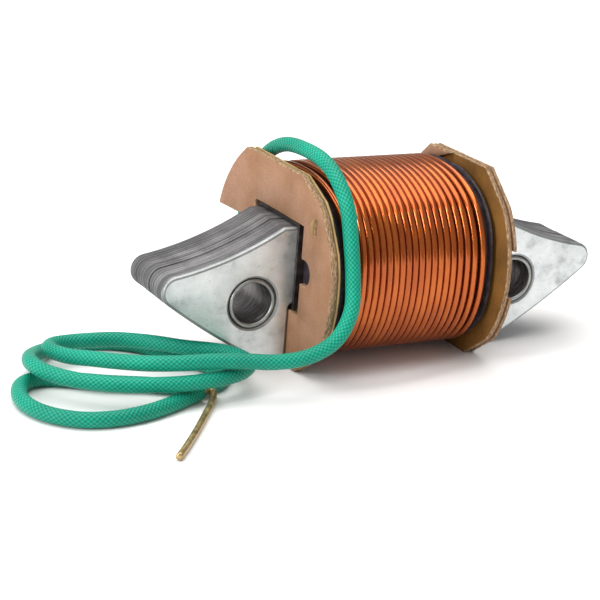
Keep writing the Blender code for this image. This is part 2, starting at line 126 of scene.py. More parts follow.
BRAID_PITCH = 0.6
BRAID_THREADS = 11
LEAD_DIAMETER = 1.9
LEAD_ROUTE = [
    (-11.3, 14.4, 12.0),
    (-11.3, 14.35, 14.5),
    (-11.3, 13.4, 18.2),
    (-11.3, 11.4, 21.7),
    (-11.3, 8.2, 24.6),
    (-11.3, 4.0, 26.4),
    (-11.3, -1.0, 26.95),
    (-11.3, -5.8, 26.7),
    (-11.3, -9.6, 25.2),
    (-11.3, -12.5, 22.4),
    (-11.3, -14.0, 18.6),
    (-11.3, -15.1, 14.6),
    (-11.9, -16.4, 10.8),
    (-14.0, -17.0, 7.6),
    (-17.4, -16.8, 5.8),
    (-21.2, -16.0, 5.2),
    (-25.0, -14.6, 5.2),
    (-28.8, -13.6, 5.2),
    (-32.6, -13.1, 5.2),
    (-36.0, -11.6, 5.0),
    (-38.9, -9.2, 4.7),
    (-41.2, -6.4, 4.3),
    (-42.8, -3.8, 3.8),
    (-43.6, -1.4, 3.5),
    (-43.6, 0.9, 3.2),
    (-42.4, 2.6, 3.0),
    (-40.3, 3.4, 2.8),
    (-37.6, 3.3, 2.8),
    (-34.4, 2.8, 2.8),
    (-31.6, 1.4, 2.8),
    (-29.6, -0.7, 3.0),
    (-27.4, -3.0, 3.1),
    (-23.5, -5.7, 3.1),
    (-22.0, -8.5, 3.1),
    (-22.7, -11.5, 3.1),
    (-25.8, -13.6, 3.1),
    (-30.8, -14.4, 3.1),
    (-35.8, -13.8, 3.1),
    (-40.4, -12.2, 3.1),
    (-44.2, -9.6, 3.1),
    (-46.6, -6.4, 3.15),
    (-47.2, -3.2, 3.1),
    (-46.3, 0.2, 2.5),
    (-44.5, 3.3, 1.7),
    (-42.1, 5.7, 1.15),
    (-39.2, 7.0, 1.0),
    (-35.9, 7.1, 1.0),
    (-32.6, 6.2, 1.0),
    (-30.0, 4.3, 1.0),
    (-28.4, 1.6, 1.0),
    (-27.0, -1.4, 1.0),
    (-25.1, -4.1, 1.0),
    (-24.2, -6.8, 1.0),
    (-24.8, -9.1, 1.0),
    (-27.1, -10.8, 1.0),
    (-30.8, -10.4, 1.0),
    (-34.6, -8.4, 1.0),
    (-38.9, -6.5, 1.0),
    (-42.8, -4.3, 1.0),
    (-45.9, -3.0, 1.0),
    (-48.6, -4.0, 1.0),
    (-50.1, -6.9, 1.0),
    (-50.3, -10.5, 1.0),
    (-48.9, -13.9, 1.0),
    (-46.0, -16.4, 1.0),
    (-42.2, -17.2, 1.0),
    (-38.2, -16.6, 1.0),
    (-34.6, -15.2, 1.0),
    (-31.4, -13.6, 1.0),
    (-29.6, -12.7, 1.0),
]
WIRE_END_ROUTE = [
    (-29.25, -12.5, 1.0),
    (-28.1, -12.0, 0.9),
    (-27.7, -12.5, 0.8),
    (-28.2, -13.6, 0.7),
    (-29.4, -15.5, 0.6),
    (-31.6, -18.5, 0.55),
    (-34.2, -22.0, 0.55),
    (-37.0, -25.6, 0.55),
    (-39.3, -28.4, 0.55),
]
FINISH_WIRE_ROUTE = [
    (-11.3, 14.4, 11.65),
    (-11.25, 14.2, 10.4),
    (-11.2, 13.9, 9.0),
    (-11.1, 13.4, 7.2),
    (-11.05, 12.6, 5.3),
]
EARTH_SLEEVE_DIAMETER = 1.2
EARTH_SLEEVE_ROUTE = [
    (-12.95, 6.6, 14.6),
    (-13.9, 6.65, 14.2),
    (-14.8, 6.6, 13.5),
    (-15.3, 6.4, 12.65),
]
# The solder spreads on the back plate's face, just clear of it.
SOLDER_FOOT_Y = 5.13
EARTH_WIRE_ROUTE = [
    (-15.35, 6.3, 12.35),
    (-15.45, 6.2, 12.05),
    (-15.55, 6.1, 11.75),
]

# The camera stands where the photograph was taken from: place, heading, height, roll and lens.
CAMERA_PLACE = (-119.66, -196.05, 81.16)
CAMERA_AZIMUTH = -29.25
CAMERA_ELEVATION = 18.33
CAMERA_ROLL = 4.57
CAMERA_LENS = 110.4


# ---------------------------------------------------------------- camera, light and floor

def make_camera():
    azimuth, elevation, roll = (
        math.radians(angle) for angle in (CAMERA_AZIMUTH, CAMERA_ELEVATION, CAMERA_ROLL)
    )
    back = Vector(
        (
            math.sin(azimuth) * math.cos(elevation),
            -math.cos(azimuth) * math.cos(elevation),
            math.sin(elevation),
        )
    )
    level = Vector((0, 0, 1)).cross(back).normalized()
    upright = back.cross(level)
    right = level * math.cos(roll) + upright * math.sin(roll)
    up = upright * math.cos(roll) - level * math.sin(roll)
    data = bpy.data.cameras.new("camera")
    data.lens = CAMERA_LENS
    data.sensor_width = 36.0
    data.clip_start = 0.01
    data.clip_end = 10.0
    camera = bpy.data.objects.new("camera", data)
    turn = Matrix((right, up, back)).transposed().to_4x4()
    camera.matrix_world = Matrix.Translation(Vector(CAMERA_PLACE) * MM) @ turn
    bpy.context.scene.collection.objects.link(camera)
    bpy.context.scene.camera = camera


def add_light(name, place, target, size, power, colour):
    data = bpy.data.lights.new(name, "AREA")
    data.shape = "RECTANGLE"
    data.size, data.size_y = size
    data.energy = power
    data.color = colour
    light = bpy.data.objects.new(name, data)
    light.location = Vector(place)
    light.rotation_euler = (Vector(target) - Vector(place)).to_track_quat("-Z", "Y").to_euler()
    bpy.context.scene.collection.objects.link(light)


def make_studio():
    """A pale floor under a broad overhead light, with a fill from the left."""
    mesh = bpy.data.meshes.new("floor")
    half = 2.5
    corners = [(-half, -half), (half, -half), (half, half), (-half, half)]
    mesh.from_pydata([(x, y, 0.0) for x, y in corners], [], [(0, 1, 2, 3)])
    floor = bpy.data.objects.new("floor", mesh)
    bpy.context.scene.collection.objects.link(floor)
    floor.data.materials.append(new_material("floor_white", (0.9, 0.9, 0.9), 0.9, 0.0))
    add_light("overhead", (-0.05, 0.08, 0.6), (0.0, 0.0, 0.0), (0.95, 0.75), 6.2, (1.0, 0.99, 0.97))
    add_light("left_fill", (-0.6, -0.15, 0.22), (0.0, 0.0, 0.01), (0.06, 0.45), 2.6, (0.98, 0.98, 1.0))
    world = bpy.data.worlds.new("studio")
    world.use_nodes = True
    world.node_tree.nodes["Background"].inputs["Color"].default_value = (1.0, 1.0, 1.0, 1.0)
    world.node_tree.nodes["Background"].inputs["Strength"].default_value = 0.45
    bpy.context.scene.world = world
    bpy.context.scene.view_settings.view_transform = "Standard"


# ---------------------------------------------------------------- node helpers

def new_material(name, colour, roughness, metallic):
    material = bpy.data.materials.new(name)
    material.use_nodes = True
    shader = material.node_tree.nodes["Principled BSDF"]
    shader.inputs["Base Color"].default_value = (*colour, 1.0)
    shader.inputs["Roughness"].default_value = roughness
    shader.inputs["Metallic"].default_value = metallic
    return material


class Nodes:
    """Short calls for the few node kinds that the materials share. Positions are in millimetres."""

    def __init__(self, material):
        self.tree = material.node_tree
        self.shader = self.tree.nodes["Principled BSDF"]

    def constant(self, socket, value):
        self.shader.inputs[socket].default_value = value

    def add(self, kind, **settings):
        node = self.tree.nodes.new(kind)
        for key, value in settings.items():
            setattr(node, key, value)
        return node

    def link(self, source, target):
        self.tree.links.new(source, target)

    def place(self, stretch=(1.0, 1.0, 1.0)):
        """Object coordinates in millimetres, squeezed or stretched along each axis."""
        source = self.add("ShaderNodeTexCoord").outputs["Object"]
        mapping = self.add("ShaderNodeMapping")
        mapping.inputs["Scale"].default_value = tuple(1000.0 * value for value in stretch)
        self.link(source, mapping.inputs["Vector"])
        return mapping.outputs["Vector"]

    def noise(self, scale, detail=3.0, stretch=(1.0, 1.0, 1.0), roughness=0.55):
        node = self.add("ShaderNodeTexNoise")
        node.inputs["Scale"].default_value = scale
        node.inputs["Detail"].default_value = detail
        node.inputs["Roughness"].default_value = roughness
        self.link(self.place(stretch), node.inputs["Vector"])
        return node.outputs["Fac"]

    def ramp(self, source, stops):
        node = self.add("ShaderNodeValToRGB")
        elements = node.color_ramp.elements
        while len(elements) < len(stops):
            elements.new(0.5)
        for element, (position, colour) in zip(elements, stops):
            element.position = position
            element.color = (*colour, 1.0)
        self.link(source, node.inputs["Fac"])
        return node.outputs["Color"]

    def remap(self, source, low, high, to_low, to_high):
        node = self.add("ShaderNodeMapRange")
        for name, value in (
            ("From Min", low),
            ("From Max", high),
            ("To Min", to_low),
            ("To Max", to_high),
        ):
            node.inputs[name].default_value = value
        self.link(source, node.inputs["Value"])
        return node.outputs["Result"]

    def math(self, operation, first, second=None):
        node = self.add("ShaderNodeMath", operation=operation)
        for socket, value in zip(node.inputs, (first, second)):
            if isinstance(value, (int, float)):
                socket.default_value = value
            elif value is not None:
                self.link(value, socket)
        return node.outputs["Value"]

    def mix(self, factor, first, second, blend="MIX"):
        node = self.add("ShaderNodeMix", data_type="RGBA", blend_type=blend)
        for name, value in (("Factor", factor), ("A", first), ("B", second)):
            socket = next(s for s in node.inputs if s.name == name and s.enabled)
            if isinstance(value, tuple):
                socket.default_value = (*value, 1.0)
            elif isinstance(value, (int, float)):
                socket.default_value = value
            else:
                self.link(value, socket)
        return next(s for s in node.outputs if s.enabled)

    def bump(self, height, distance, strength=1.0, normal=None):
        """Distance is the height, in millimetres, that a change of 1 in the source stands for."""
        node = self.add("ShaderNodeBump")
        node.inputs["Distance"].default_value = distance * MM
        node.inputs["Strength"].default_value = strength
        self.link(height, node.inputs["Height"])
        if normal is not None:
            self.link(normal, node.inputs["Normal"])
        return node.outputs["Normal"]

    def finish(self, colour=None, roughness=None, normal=None):
        for name, source in (("Base Color", colour), ("Roughness", roughness), ("Normal", normal)):
            if source is not None:
                self.link(source, self.shader.inputs[name])


# ---------------------------------------------------------------- materials

def toned(shades, tone):
    """Colour stops with every colour made lighter or darker by a tone."""
    return [(where, tuple(tone * part for part in shade)) for where, shade in shades]


def plate_material(name, tone):
    """Rolled steel end plate: dull zinc-grey with stains, fine scratches and dark specks."""
    material = new_material(name, (0.6, 0.62, 0.61), 0.4, 0.85)
    nodes = Nodes(material)
    stain = nodes.noise(0.28, 5.0)
    shades = ((0.3, (0.4, 0.42, 0.42)), (0.46, (0.7, 0.73, 0.73)), (0.66, (0.84, 0.86, 0.86)))
    base = nodes.ramp(stain, toned(shades, tone))
    specks = nodes.remap(nodes.noise(2.4, 6.0, roughness=0.7), 0.6, 0.72, 0.0, 0.5)
    colour = nodes.mix(specks, base, (0.12, 0.11, 0.1))
    scratches = nodes.noise(3.0, 4.0, stretch=(0.25, 1.0, 2.5))
    roughness = nodes.remap(scratches, 0.3, 0.75, 0.34, 0.55)
    nodes.finish(colour, roughness, nodes.bump(scratches, 0.03))
    return material


def lamination_material(number, tone):
    """Cut edge of a core sheet: grey, with fine lines that run along the sheet."""
    material = new_material(f"core_sheet_{number}", (0.3, 0.3, 0.3), 0.5, 0.75)
    nodes = Nodes(material)
    lines = nodes.noise(1.3, 4.0, stretch=(0.1, 6.0, 0.1), roughness=0.65)
    patches = nodes.noise(0.3, 3.0, stretch=(1.0, 0.4, 1.0))
    shades = ((0.32, (0.3, 0.29, 0.3)), (0.62, (0.95, 0.94, 0.95)))
    colour = nodes.ramp(lines, toned(shades, tone))
    shade = nodes.ramp(patches, [(0.35, (0.6, 0.6, 0.61)), (0.65, (1.0, 1.0, 1.0))])
    colour = nodes.mix(1.0, colour, shade, "MULTIPLY")
    nodes.finish(colour, nodes.remap(patches, 0.3, 0.7, 0.55, 0.7), nodes.bump(lines, 0.03))
    return material


def rivet_material(name, dark, middle, light):
    """Drawn tube with fine rings round it."""
    material = new_material(name, middle, 0.35, 0.9)
    nodes = Nodes(material)
    rings = nodes.noise(1.2, 3.0, stretch=(0.4, 5.0, 0.4))
    colour = nodes.ramp(rings, [(0.3, dark), (0.55, middle), (0.75, light)])
    nodes.finish(colour, nodes.remap(rings, 0.3, 0.7, 0.25, 0.5), nodes.bump(rings, 0.05))
    return material


def board_material(name, light, dark):
    """Face of the fibre board: smooth tan card with faint mottling."""
    material = new_material(name, light, 0.62, 0.0)
    nodes = Nodes(material)
    nodes.constant("Specular IOR Level", 0.3)
    mottle = nodes.noise(0.22, 4.0)
    fibre = nodes.noise(5.0, 4.0, stretch=(1.0, 0.35, 1.0))
    colour = nodes.ramp(mottle, [(0.32, dark), (0.62, light)])
    colour = nodes.mix(nodes.remap(fibre, 0.35, 0.75, 0.0, 0.25), colour, tuple(0.6 * c for c in dark))
    nodes.finish(colour, nodes.remap(fibre, 0.3, 0.7, 0.5, 0.7), nodes.bump(fibre, 0.02))
    return material


def board_edge_material():
    """Cut edge of the fibre board: layered, torn fibres in cream, pink and brown."""
    material = new_material("fibre_cut_edge", (0.4, 0.26, 0.16), 0.85, 0.0)
    nodes = Nodes(material)
    layers = nodes.noise(3.2, 5.0, stretch=(2.0, 0.6, 0.6), roughness=0.6)
    flecks = nodes.noise(7.0, 4.0, stretch=(0.8, 1.0, 1.0), roughness=0.7)
    colour = nodes.ramp(
        layers,
        [
            (0.32, (0.12, 0.065, 0.03)),
            (0.45, (0.22, 0.13, 0.065)),
            (0.56, (0.36, 0.23, 0.12)),
            (0.68, (0.5, 0.35, 0.22)),
        ],
    )
    colour = nodes.mix(nodes.remap(flecks, 0.55, 0.7, 0.0, 0.6), colour, (0.07, 0.04, 0.02))
    nodes.finish(colour, None, nodes.bump(layers, 0.08))
    return material


def enamel_material():
    """Enamelled copper: clear orange-brown lacquer over bright wire."""
    material = new_material("copper_enamel", (0.62, 0.17, 0.03), 0.3, 0.85)
    nodes = Nodes(material)
    nodes.constant("Coat Weight", 0.55)
    nodes.constant("Coat Roughness", 0.08)
    nodes.constant("Coat Tint", (1.0, 0.75, 0.5, 1.0))
    tone = nodes.noise(0.35, 3.0, stretch=(1.0, 0.5, 0.5))
    colour = nodes.ramp(
        tone,
        [
            (0.3, (0.36, 0.076, 0.008)),
            (0.55, (0.45, 0.112, 0.012)),
            (0.75, (0.54, 0.16, 0.022)),
        ],
    )
    nicks = nodes.remap(nodes.noise(1.8, 5.0, roughness=0.7), 0.68, 0.76, 0.0, 0.7)
    colour = nodes.mix(nicks, colour, (0.25, 0.05, 0.01))
    nodes.finish(colour, nodes.remap(tone, 0.3, 0.7, 0.14, 0.22))
    return material


def wrap_material(name, light, dark):
    """Varnished cloth or paper insulation with fine creases."""
    material = new_material(name, dark, 0.5, 0.0)
    nodes = Nodes(material)
    nodes.constant("Specular IOR Level", 0.3)
    creases = nodes.noise(0.9, 5.0, stretch=(0.5, 1.0, 1.0), roughness=0.6)
    colour = nodes.ramp(creases, [(0.35, dark), (0.7, light)])
    weave = nodes.noise(4.0, 2.0)
    normal = nodes.bump(weave, 0.03, normal=nodes.bump(creases, 0.25))
    nodes.finish(colour, nodes.remap(weave, 0.3, 0.7, 0.35, 0.6), normal)
    return material


def sleeve_material():
    """Green varnished braid: diamonds of thread that cross round the sleeve, with painted highlights on their
    tops and painted shade between them.
    """
    material = new_material("green_braid", (0.0, 0.4, 0.2), 0.45, 0.0)
    nodes = Nodes(material)
    nodes.constant("Specular IOR Level", 0.25)
    nodes.constant("Sheen Weight", 0.08)
    nodes.constant("Sheen Roughness", 0.3)
    nodes.constant("Sheen Tint", (0.75, 0.85, 1.0, 1.0))
    uv = nodes.add("ShaderNodeUVMap", uv_map="braid").outputs["UV"]
    parts = nodes.add("ShaderNodeSeparateXYZ")
    nodes.link(uv, parts.inputs["Vector"])
    along = nodes.math("SINE", nodes.math("MULTIPLY", parts.outputs["X"], TAU / BRAID_PITCH))
    around = nodes.math("SINE", nodes.math("MULTIPLY", parts.outputs["Y"], TAU * BRAID_THREADS))
    diamonds = nodes.math("MULTIPLY", along, around)
    height = nodes.remap(diamonds, -1.0, 1.0, 0.0, 1.0)
    # The green of the thread, lighter on the diamonds' tops as painted highlights and darker in the hollows
    # between them as painted shade.
    base = nodes.ramp(
        height,
        [
            (0.1, (0.0, 0.18, 0.11)),
            (0.4, (0.0, 0.28, 0.17)),
            (0.7, (0.0, 0.34, 0.22)),
            (0.97, (0.03, 0.45, 0.33)),
        ],
    )
    drift = nodes.noise(0.12, 3.0)
    shade = nodes.ramp(drift, [(0.3, (0.62, 0.72, 0.72)), (0.65, (1.0, 1.0, 1.0))])
    colour = nodes.mix(1.0, base, shade, "MULTIPLY")
    nodes.finish(colour, nodes.remap(height, 0.0, 1.0, 0.6, 0.35), nodes.bump(height, 0.07))
    return material


def bare_wire_material():
    material = new_material("scraped_wire", (0.55, 0.42, 0.22), 0.35, 0.85)
    nodes = Nodes(material)
    marks = nodes.noise(2.4, 5.0, stretch=(0.6, 0.6, 1.0))
    colour = nodes.ramp(
        marks,
        [
            (0.3, (0.28, 0.19, 0.08)),
            (0.55, (0.45, 0.33, 0.15)),
            (0.75, (0.6, 0.47, 0.26)),
        ],
    )
    nodes.finish(colour, nodes.remap(marks, 0.3, 0.7, 0.25, 0.5), nodes.bump(marks, 0.03))
    return material


def solder_material():
    material = new_material("solder_blob", (0.6, 0.6, 0.6), 0.35, 0.9)
    nodes = Nodes(material)
    grain = nodes.noise(1.5, 4.0)
    colour = nodes.ramp(grain, [(0.35, (0.4, 0.4, 0.4)), (0.7, (0.7, 0.7, 0.7))])
    nodes.finish(colour, nodes.remap(grain, 0.3, 0.7, 0.3, 0.5), nodes.bump(grain, 0.08))
    return material


# ---------------------------------------------------------------- mesh helpers

def add_piece(name, mesh, materials, replaced, smooth_angle=35.0):
    piece = bpy.data.objects.new(name, mesh)
    for material in materials:
        mesh.materials.append(material)
    bpy.context.scene.collection.objects.link(piece)
    mesh.shade_smooth()
    mesh.set_sharp_from_angle(angle=math.radians(smooth_angle))
    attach(piece, "root")
    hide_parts(*replaced)
    return piece


def arc(centre, radius, start, end, steps):
    points = []
    for step in range(steps + 1):
        angle = start + (end - start) * step / steps
        points.append((centre[0] + radius * math.cos(angle), centre[1] + radius * math.sin(angle)))
    return points


def circle(centre, radius, steps):
    return arc(centre, radius, 0.0, TAU * (steps - 1) / steps, steps - 1)


def heading(centre, point):
    return math.atan2(point[1] - centre[1], point[0] - centre[0])


def circles_meet(centre_a, radius_a, centre_b, radius_b):
    """The crossing of two circles on the left of the line from the first centre to the second."""
    offset = Vector(centre_b) - Vector(centre_a)
    along = (offset.length ** 2 + radius_a ** 2 - radius_b ** 2) / (2 * offset.length)
    across = math.sqrt(radius_a ** 2 - along ** 2)
    direction = offset.normalized()
    return Vector(centre_a) + direction * along + Vector((-direction.y, direction.x)) * across


def rounded(before, corner, after, radius, steps):
    """An arc in place of a corner, touching both of its edges."""
    corner = Vector(corner)
    back = (Vector(before) - corner).normalized()
    on = (Vector(after) - corner).normalized()
    half = back.angle(on) / 2
    centre = corner + (back + on).normalized() * radius / math.sin(half)
    start = heading(centre, corner + back * radius / math.tan(half))
    end = heading(centre, corner + on * radius / math.tan(half))
    if end - start > math.pi:
        start += TAU
    if start - end > math.pi:
        end += TAU
    return arc(centre, radius, start, end, steps)


def evenly(points, step, closed=True):
    """The same line with a point about every step."""
    line = [Vector(point) for point in points]
    if closed:
        line.append(line[0])
    out = []
    for here, there in zip(line, line[1:]):
        count = max(1, round((there - here).length / step))
        for number in range(count):
            out.append(here.lerp(there, number / count))
    if not closed:
        out.append(line[-1])
    return out


def loop_direction(loop):
    """1 if the loop runs anticlockwise, else -1."""
    area = sum(a[0] * b[1] - b[0] * a[1] for a, b in zip(loop, loop[1:] + loop[:1]))
    return 1 if area > 0 else -1


def inset(loop, distance):
    """The loop moved to its inside by a distance, or to its outside where that is negative."""
    side = loop_direction(loop)
    moved = []
    for index, here in enumerate(loop):
        before, after = Vector(loop[index - 1]), Vector(loop[(index + 1) % len(loop)])
        here = Vector(here)
        a, b = (here - before).normalized(), (after - here).normalized()
        normal = Vector((-a.y - b.y, a.x + b.x)).normalized() * side
        stretch = max(0.5, normal.dot(Vector((-a.y, a.x)) * side))
        moved.append(here + normal * distance / stretch)
    return moved


def slab(name, outline, holes, profile, to_world, edge_material=0):
    """A flat plate whose edge follows a profile: steps of (how far in, how deep), first face to last."""
    mesh = bpy.data.meshes.new(name)
    shape = bmesh.new()
    loops = [(outline, 1.0)] + [(hole, -1.0) for hole in holes]
    rings = []
    for loop, direction in loops:
        rows = []
        for how_far, depth in profile:
            moved = inset(loop, how_far * direction)
            rows.append([shape.verts.new(Vector(to_world(a, b, depth)) * MM) for a, b in moved])
        rings.append(rows)
        for near, far in zip(rows, rows[1:]):
            for index in range(len(near)):
                after = (index + 1) % len(near)
                face = shape.faces.new((near[index], near[after], far[after], far[index]))
                face.material_index = edge_material
    for end in (0, -1):
        edges = []
        for rows in rings:
            row = rows[end]
            for index, corner in enumerate(row):
                edges.append(shape.edges.get((corner, row[(index + 1) % len(row)])))
        bmesh.ops.triangle_fill(shape, use_beauty=True, use_dissolve=False, edges=edges)
    bmesh.ops.recalc_face_normals(shape, faces=shape.faces)
    shape.to_mesh(mesh)
    shape.free()
    return mesh


def along_y(a, b, depth):
    return (a, depth, b)


def smooth_line(route, step):
    """Evenly spaced points on a smooth curve through every point of a route, in millimetres."""
    points = [Vector(point) for point in route]
    points = [points[0] * 2 - points[1]] + points + [points[-1] * 2 - points[-2]]
    fine = []
    for index in range(1, len(points) - 2):
        before, start, end, after = points[index - 1:index + 3]
        for number in range(20):
            t = number / 20
            fine.append(
                0.5
                * (
                    2 * start
                    + (end - before) * t
                    + (2 * before - 5 * start + 4 * end - after) * t ** 2
                    + (3 * start - before - 3 * end + after) * t ** 3
                )
            )
    fine.append(points[-2])
    reached = [0.0]
    for here, there in zip(fine, fine[1:]):
        reached.append(reached[-1] + (there - here).length)
    count = max(2, round(reached[-1] / step) + 1)
    line = []
    index = 0
    for number in range(count):
        target = reached[-1] * number / (count - 1)
        while index < len(fine) - 2 and reached[index + 1] < target:
            index += 1
        share = (target - reached[index]) / (reached[index + 1] - reached[index])
        line.append(fine[index].lerp(fine[index + 1], share))
    return line


def tube(name, line, radius, sides, ends=(0.0, 0.0)):
    """A round tube on a line of points, with its ends rounded over the given lengths.

    Its UV map has the distance along the tube in millimetres and the turn round it from 0 to 1.
    """
    mesh = bpy.data.meshes.new(name)
    shape = bmesh.new()
    layer = shape.loops.layers.uv.new("braid")
    frames = []
    normal = None
    reached = 0.0
    for index, point in enumerate(line):
        before, after = line[max(0, index - 1)], line[min(len(line) - 1, index + 1)]
        tangent = (after - before).normalized()
        if normal is None:
            normal = tangent.orthogonal().normalized()
        normal = (normal - tangent * normal.dot(tangent)).normalized()
        if index:
            reached += (point - line[index - 1]).length
        frames.append((point, tangent, normal, reached))
    rows = [(frame_at, 1.0) for frame_at in frames]
    for end, length in zip((0, -1), ends):
        if length:
            point, tangent, normal, distance = rows[end][0]
            out = tangent * (-1 if end == 0 else 1)
            caps = []
            for step in (1, 2, 3):
                angle = math.radians(28 * step)
                moved = point + out * length * math.sin(angle)
                caps.append(((moved, tangent, normal, distance), math.cos(angle)))
            rows = caps[::-1] + rows if end == 0 else rows + caps
    rings = []
    for (point, tangent, normal, distance), share in rows:
        across = tangent.cross(normal)
        ring = []
        for side in range(sides):
            angle = TAU * side / sides
            reach = (normal * math.cos(angle) + across * math.sin(angle)) * radius * share
            ring.append(shape.verts.new((point + reach) * MM))
        rings.append((ring, distance))
    for (near, at), (far, to) in zip(rings, rings[1:]):
        for side in range(sides):
            after = (side + 1) % sides
            face = shape.faces.new((near[side], near[after], far[after], far[side]))
            corners = ((at, side), (at, side + 1), (to, side + 1), (to, side))
            for loop, (u, v) in zip(face.loops, corners):
                loop[layer].uv = (u, v / sides)
    shape.faces.new(list(reversed(rings[0][0])))
    shape.faces.new(rings[-1][0])
    bmesh.ops.recalc_face_normals(shape, faces=shape.faces)
    shape.to_mesh(mesh)
    shape.free()
    return mesh


def ringed(name, rings, closed):
    """A skin through rings of points, each ring closed; closed joins the last ring to the first."""
    mesh = bpy.data.meshes.new(name)
    shape = bmesh.new()
    rows = [[shape.verts.new(Vector(point) * MM) for point in ring] for ring in rings]
    pairs = list(zip(rows, rows[1:])) + ([(rows[-1], rows[0])] if closed else [])
    for near, far in pairs:
        for index in range(len(near)):
            after = (index + 1) % len(near)
            shape.faces.new((near[index], near[after], far[after], far[index]))
    bmesh.ops.recalc_face_normals(shape, faces=shape.faces)
    shape.to_mesh(mesh)
    shape.free()
    return mesh


# ---------------------------------------------------------------- core

def pole_outline():
    """The right-hand pole from the bar's underside round to its top, as (x, z)."""
    shoulder = (SHOULDER_X, BAR_TOP)
    heel = (HEEL_X, POLE_BOTTOM)
    foot = (POLE_INNER_X, POLE_BOTTOM)
    face_centre = circles_meet(heel, POLE_FACE_RADIUS, TIP, POLE_FACE_RADIUS - TIP_RADIUS)
    horn_centre = circles_meet(shoulder, HORN_ARC_RADIUS, TIP, HORN_ARC_RADIUS + TIP_RADIUS)
    face_start, face_end = heading(face_centre, heel), heading(face_centre, TIP)
    horn_start, horn_end = heading(horn_centre, TIP), heading(horn_centre, shoulder)
    face = arc(face_centre, POLE_FACE_RADIUS, face_start, face_end, 30)
    outline = rounded((0.0, BAR_BOTTOM), (POLE_INNER_X, BAR_BOTTOM), foot, 0.6, 4)
    outline += rounded(outline[-1], foot, heel, 0.3, 3)
    outline += rounded(foot, heel, face[1], 0.8, 5)
    outline += face[1:]
    outline += arc(TIP, TIP_RADIUS, face_end, horn_start + math.pi, 14)[1:]
    outline += arc(horn_centre, HORN_ARC_RADIUS, horn_start, horn_end, 30)[1:]
    return outline


def core_outline():
    right = pole_outline()
    return right + [(-x, z) for x, z in reversed(right)]


def hole_loops():
    return [circle((side * HOLE[0], HOLE[1]), HOLE_RADIUS, 40) for side in (-1, 1)]


def make_core(plate, plate_edge, sheets):
    """The front plate with its rolled edge, the sheets, each a little out of line, and the back plate."""
    outline = core_outline()
    front, back = span("core_plate_front", 1)
    roll = 0.35
    rolled = [(roll * (1 - math.sin(a)), roll * (1 - math.cos(a))) for a in (0.0, 0.4, 0.8, 1.2, math.pi / 2)]
    profile = [(far, front + deep) for far, deep in rolled] + [(0.0, back - 0.08), (0.1, back)]
    mesh = slab("front_plate", outline, hole_loops(), profile, along_y, 1)
    add_piece("front_plate", mesh, [plate, plate_edge], ["core_plate_front"])
    draw = random.Random(7)
    nodes = sorted(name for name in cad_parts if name.startswith("core_lamination_"))
    for number, node in enumerate(nodes):
        low, high = span(node, 1)
        unevenness = 0.03 if number < FRONT_SHEETS else 0.07
        slip = draw.uniform(0.0, unevenness) + (SHEET_STEP if number == FRONT_SHEETS else 0.0)
        burr = unevenness
        profile = [
            (slip + burr, low),
            (slip, low + SHEET_CHAMFER),
            (slip, high - SHEET_CHAMFER),
            (slip + burr, high),
        ]
        name = node.replace("core_", "sheet_")
        mesh = slab(name, outline, hole_loops(), profile, along_y)
        add_piece(name, mesh, [sheets[draw.randrange(len(sheets))]], [node])
    front, back = span("core_plate_back", 1)
    profile = [(0.1, front), (0.0, front + 0.08), (0.0, back - 0.2), (0.06, back - 0.06), (0.2, back)]
    mesh = slab("back_plate", outline, hole_loops(), profile, along_y, 1)
    add_piece("back_plate", mesh, [plate, sheets[0]], ["core_plate_back"])


def make_rivets(rim_material, shaded_bore_material):
    """Tubular rivets: plain in the stack, their ends turned over into a small rounded rim."""
    for side, node in ((-1, "left_tubular_rivet"), (1, "right_tubular_rivet")):
        front, back = span(node, 1)
        wall = RIM_RADIUS - BORE_RADIUS
        section = []
        for end, inward in ((front, 1), (back, -1)):
            rim = []
            for step in range(9):
                angle = math.pi * step / 8
                radius = BORE_RADIUS + wall / 2 + wall / 2 * math.cos(angle)
                rim.append((radius, end + inward * RIM_DEPTH * (1 - math.sin(angle))))
            section += rim if inward == 1 else rim[::-1]
        centre = (side * HOLE[0], HOLE[1])
        rings = [[(x, y, z) for x, z in circle(centre, radius, 48)] for radius, y in section]
        mesh = ringed(node + "_rim", rings, True)
        # Faces inside the bore take the darker bore material, which is painted shade inside the tube.
        for face in mesh.polygons:
            if abs(face.center.y) < (back - 0.3) * MM:
                face.material_index = 1
        add_piece(node + "_rim", mesh, [rim_material, shaded_bore_material], [node])


# ---------------------------------------------------------------- flanges

def rim_reach(z):
    return math.sqrt(FLANGE_RADIUS ** 2 - (z - FLANGE_CENTRE[1]) ** 2)


def rim_arc():
    bottom = math.asin(-FLANGE_CENTRE[1] / FLANGE_RADIUS)
    top = math.asin((FLANGE_TOP - FLANGE_CENTRE[1]) / FLANGE_RADIUS)
    return arc(FLANGE_CENTRE, FLANGE_RADIUS, bottom, top, 60)


def side_slotted(slot_side, far_edge, notch=()):
    slot = [
        (rim_reach(SLOT_BOTTOM), SLOT_BOTTOM),
        (WINDOW_HALF_WIDTH, SLOT_BOTTOM),
        (WINDOW_HALF_WIDTH, WINDOW_BOTTOM),
        (-far_edge, WINDOW_BOTTOM),
        *notch,
        (-far_edge, WINDOW_TOP),
        (WINDOW_HALF_WIDTH, WINDOW_TOP),
        (WINDOW_HALF_WIDTH, SLOT_TOP),
        (rim_reach(SLOT_TOP), SLOT_TOP),
    ]
    below = [point for point in rim_arc() if point[1] < SLOT_BOTTOM - 0.1]
    above = [point for point in rim_arc() if point[1] > SLOT_TOP + 0.1]
    plain = [(-y, z) for y, z in reversed(rim_arc())]
    return [(slot_side * y, z) for y, z in below + slot + above + plain]


